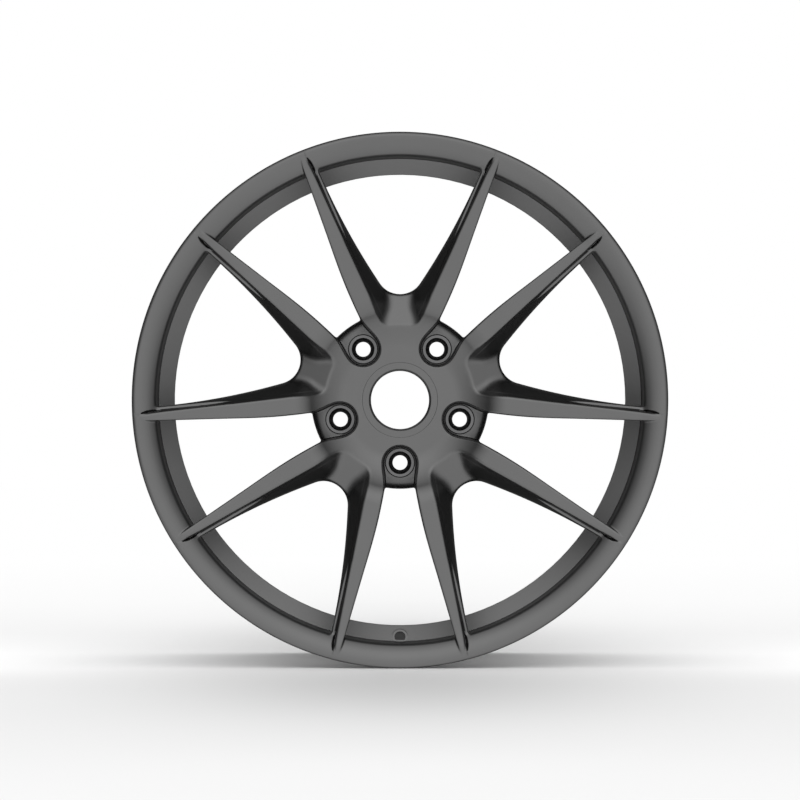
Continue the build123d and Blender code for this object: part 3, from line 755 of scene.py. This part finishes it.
def thinned_face():
    """The whole forging as an object, thinned to its number of triangles."""
    points, quads = face_mesh()
    mesh = bpy.data.meshes.new("forged_face")
    places = points / 1000 + np.array([0, front, 0])
    mesh.vertices.add(len(places))
    mesh.vertices.foreach_set("co", places.astype(np.float32).ravel())
    mesh.loops.add(quads.size)
    mesh.loops.foreach_set("vertex_index", quads.astype(np.int32).ravel())
    mesh.polygons.add(len(quads))
    mesh.polygons.foreach_set("loop_start", np.arange(0, quads.size, 4, dtype=np.int32))
    mesh.update(calc_edges=True)
    thing = bpy.data.objects.new("forged_face", mesh)
    bpy.context.scene.collection.objects.link(thing)
    thin = thing.modifiers.new("thin", "DECIMATE")
    thin.ratio = face_triangles / (2 * len(quads))
    graph = bpy.context.evaluated_depsgraph_get()
    thinned = bpy.data.meshes.new_from_object(thing.evaluated_get(graph))
    thing.modifiers.clear()
    thing.data = thinned
    thinned.name = "forged_face"
    return thing


def face_piece():
    """The thinned forging, its vertices settled on the surface and its normals taken from there."""
    thing = thinned_face()
    mesh = thing.data
    places = np.zeros(len(mesh.vertices) * 3, np.float32)
    mesh.vertices.foreach_get("co", places)
    places = places.reshape(-1, 3).astype(float)
    whole = (places - np.array([0, front, 0])) * 1000
    # fold each vertex into the first sector
    angle = np.arctan2(whole[:, 0], whole[:, 2]) % (2 * math.pi)
    sector = np.floor(angle / half_pair).astype(int)
    flip = sector % 2 == 1
    middle = half_pair * np.where(flip, sector + 1, sector)
    c, s = np.cos(middle), np.sin(middle)
    side = np.where(flip, -1.0, 1.0)
    folded = np.stack([
        (whole[:, 0] * c - whole[:, 2] * s) * side,
        whole[:, 0] * s + whole[:, 2] * c,
        whole[:, 1],
    ], 1)
    folded, normal = settled(folded, rounds=2, longest_step=0.3)

    def unfold(v):
        x = v[:, 0] * side
        return np.stack([x * c + v[:, 1] * s, v[:, 2], v[:, 1] * c - x * s], 1)

    places = unfold(folded) / 1000 + np.array([0, front, 0])
    mesh.vertices.foreach_set("co", places.astype(np.float32).ravel())
    mesh.update()
    mesh.shade_smooth()
    mesh.normals_split_custom_set_from_vertices(unfold(normal).astype(np.float32))
    return thing


face = face_piece()
face.data.materials.clear()
face.data.materials.append(gunmetal)
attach(face, "root")
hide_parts("face_forging")


# ---------------------------------------------------------------- stage
def math_node(tree, operation, first, second=0.0, third=0.0):
    """The result of a math node, whose inputs are numbers or other nodes' outputs."""
    node = tree.nodes.new("ShaderNodeMath")
    node.operation = operation
    for socket, value in zip(node.inputs, (first, second, third)):
        if isinstance(value, (int, float)):
            socket.default_value = value
        else:
            tree.links.new(value, socket)
    return node.outputs[0]


def curve_node(tree, value, low, high, stops):
    """A smooth curve through (place, height) stops, the places between low and high."""
    share = math_node(tree, "MULTIPLY_ADD", value, 1 / (high - low), -low / (high - low))
    curve = tree.nodes.new("ShaderNodeValToRGB")
    curve.color_ramp.interpolation = "CARDINAL"
    elements = curve.color_ramp.elements
    elements.remove(elements[1])
    for number, (at, height) in enumerate(stops):
        element = elements.new((at - low) / (high - low)) if number else elements[0]
        element.position = (at - low) / (high - low)
        element.color = (height, height, height, 1)
    tree.links.new(share, curve.inputs["Fac"])
    return curve.outputs["Color"]


# The floor's painted shadow along Y, in metres behind the wheel's front: its painted shade beside the
# wheel and in its middle.
floor_half = 8.0
floor_near, floor_far = -1.4, 2.8
painted_shadow_beside = [
    (-1.3, 0.80), (-0.9, 0.77), (-0.45, 0.768), (-0.16, 0.824), (0.08, 0.97), (0.3, 0.908),
    (0.6, 0.813), (1.3, 0.815), (2.6, 0.833),
]
painted_shadow_middle = [
    (-1.3, 0.791), (-0.95, 0.766), (-0.6, 0.661), (-0.27, 0.565), (-0.08, 0.677), (0.1, 0.94),
    (0.3, 0.72), (0.5, 0.583), (0.85, 0.717), (1.3, 0.783), (2.6, 0.833),
]
painted_shadow_width = 0.22


def painted_shadow_floor():
    """A pale floor with painted shade in its colour: a wide soft painted shadow in front of the wheel, a
    fainter one behind, and a lighter band where the wheel stands.
    """
    material, tree, shader = new_material("pale_floor_painted_shadow")
    shader.inputs["Roughness"].default_value = 1.0
    shader.inputs["Specular IOR Level"].default_value = 0.0
    place = tree.nodes.new("ShaderNodeTexCoord")
    split = tree.nodes.new("ShaderNodeSeparateXYZ")
    tree.links.new(place.outputs["Object"], split.inputs["Vector"])
    behind = math_node(tree, "SUBTRACT", split.outputs["Y"], front)
    beside = curve_node(tree, behind, floor_near, floor_far, painted_shadow_beside)
    middle = curve_node(tree, behind, floor_near, floor_far, painted_shadow_middle)
    across = math_node(tree, "MULTIPLY", split.outputs["X"], 1 / painted_shadow_width)
    spread = math_node(tree, "POWER", across, 2.0)
    share = math_node(tree, "EXPONENT", math_node(tree, "MULTIPLY", spread, -1.0))
    shade = tree.nodes.new("ShaderNodeMix")
    shade.data_type = "RGBA"
    tree.links.new(share, shade.inputs["Factor"])
    tree.links.new(beside, shade.inputs["A"])
    tree.links.new(middle, shade.inputs["B"])
    # the painted shadow goes into the floor's base colour; the lights do not cast it
    tree.links.new(shade.outputs["Result"], shader.inputs["Base Color"])
    return material


floor_mesh = bpy.data.meshes.new("floor")
floor_corners = [
    (x * floor_half, y * floor_half, floor_height) for x, y in ((-1, -1), (1, -1), (1, 1), (-1, 1))
]
floor_mesh.from_pydata(floor_corners, [], [(0, 1, 2, 3)])
floor = bpy.data.objects.new("floor", floor_mesh)
bpy.context.scene.collection.objects.link(floor)
floor.visible_glossy = False
floor.data.materials.append(painted_shadow_floor())

# ---------------------------------------------------------------- light
# What the metal sees: a glow in front of the wheel, as (degrees from straight ahead, strength), which
# fades out sideways sooner than up and down.
glow_curves = {
    "right": [
        (0, 1.0), (14, 0.95), (28, 0.88), (44, 0.76), (58, 0.58), (70, 0.34), (80, 0.15), (92, 0.10),
        (120, 0.09), (150, 0.09), (168, 0.0),
    ],
    "left": [
        (0, 1.0), (14, 0.90), (28, 0.76), (44, 0.60), (58, 0.34), (70, 0.14), (80, 0.08), (92, 0.09),
        (120, 0.09), (150, 0.09), (168, 0.0),
    ],
    "above": [
        (0, 1.0), (14, 1.12), (28, 1.28), (44, 1.30), (58, 1.10), (70, 0.86), (80, 0.62), (92, 0.18),
        (105, 0.10), (120, 0.09), (150, 0.09), (168, 0.0),
    ],
    "below": [
        (0, 1.0), (30, 0.96), (45, 0.92), (60, 0.90), (80, 0.84), (92, 0.60), (105, 0.25), (125, 0.09),
        (150, 0.09), (168, 0.0),
    ],
}
glow_peak = 1.3                         # the curves' highest value
glow_strength = 1.62
glow_side_power = 4.0
below_full_at = 0.55                    # how far down a direction points where "below" takes over
dome_strength = 1.2
# keeps the arc cosine away from the end of its range, and a sum of weights away from nought
nearly_one = 0.99999
nearly_nought = 1e-12


def glow_of(tree, direction):
    """Strength of the glow in a direction, blended from the four curves."""
    split = tree.nodes.new("ShaderNodeSeparateXYZ")
    tree.links.new(direction, split.inputs["Vector"])
    facing = math_node(tree, "MULTIPLY", split.outputs["Y"], -nearly_one)
    away = math_node(tree, "MULTIPLY", math_node(tree, "ARCCOSINE", facing), 180 / math.pi)
    glows = {
        way: curve_node(tree, away, 0.0, 180.0, [(turn, height / glow_peak) for turn, height in stops])
        for way, stops in glow_curves.items()
    }
    sideways, up = split.outputs["X"], split.outputs["Z"]
    total, weight_sum = 0.0, nearly_nought
    for way, axis, sign in (("right", sideways, 1.0), ("left", sideways, -1.0), ("above", up, 1.0)):
        lean = math_node(tree, "MAXIMUM", math_node(tree, "MULTIPLY", axis, sign), 0.0)
        weight = math_node(tree, "POWER", lean, glow_side_power)
        total = math_node(tree, "MULTIPLY_ADD", weight, glows[way], total)
        weight_sum = math_node(tree, "ADD", weight, weight_sum)
    upper = math_node(tree, "DIVIDE", total, weight_sum)
    sinking = tree.nodes.new("ShaderNodeMapRange")
    sinking.interpolation_type = "SMOOTHSTEP"
    sinking.inputs["From Min"].default_value = 0.0
    sinking.inputs["From Max"].default_value = below_full_at
    tree.links.new(math_node(tree, "MULTIPLY", up, -1.0), sinking.inputs["Value"])
    sunk = sinking.outputs["Result"]
    lower_part = math_node(tree, "MULTIPLY", glows["below"], sunk)
    upper_part = math_node(tree, "MULTIPLY", upper, math_node(tree, "SUBTRACT", 1.0, sunk))
    both = math_node(tree, "ADD", lower_part, upper_part)
    return math_node(tree, "MULTIPLY", both, glow_peak * glow_strength)


# The world is white to the camera, an even dome to matt surfaces and the glow to the metal.
world = bpy.data.worlds.new("studio")
bpy.context.scene.world = world
world.use_nodes = True
world.cycles.sampling_method = "NONE"
tree = world.node_tree
tree.nodes.clear()
output = tree.nodes.new("ShaderNodeOutputWorld")
path = tree.nodes.new("ShaderNodeLightPath")
backdrop = add_node(tree, "ShaderNodeBackground", Color=(1, 1, 1, 1), Strength=1.0)
surroundings = add_node(tree, "ShaderNodeBackground", Color=(1, 1, 1, 1), Strength=1.0)
direction = tree.nodes.new("ShaderNodeTexCoord")
glow = glow_of(tree, direction.outputs["Generated"])
matt = path.outputs["Is Diffuse Ray"]
seen_by_metal = math_node(tree, "MULTIPLY", glow, math_node(tree, "SUBTRACT", 1.0, matt))
strength = math_node(tree, "MULTIPLY_ADD", matt, dome_strength, seen_by_metal)
tree.links.new(strength, surroundings.inputs["Strength"])
choose = tree.nodes.new("ShaderNodeMixShader")
tree.links.new(path.outputs["Is Camera Ray"], choose.inputs["Fac"])
tree.links.new(surroundings.outputs["Background"], choose.inputs[1])
tree.links.new(backdrop.outputs["Background"], choose.inputs[2])
tree.links.new(choose.outputs["Shader"], output.inputs["Surface"])

# ---------------------------------------------------------------- camera
camera_data = bpy.data.cameras.new("camera")
camera_data.sensor_width = sensor_mm
camera_data.lens = lens_mm
camera_data.clip_end = 50.0
camera = bpy.data.objects.new("camera", camera_data)
camera.location = (0, front - camera_distance, 0)
camera.rotation_euler = (math.radians(90), 0, 0)
bpy.context.scene.collection.objects.link(camera)
bpy.context.scene.camera = camera
bpy.context.scene.view_settings.view_transform = "Standard"
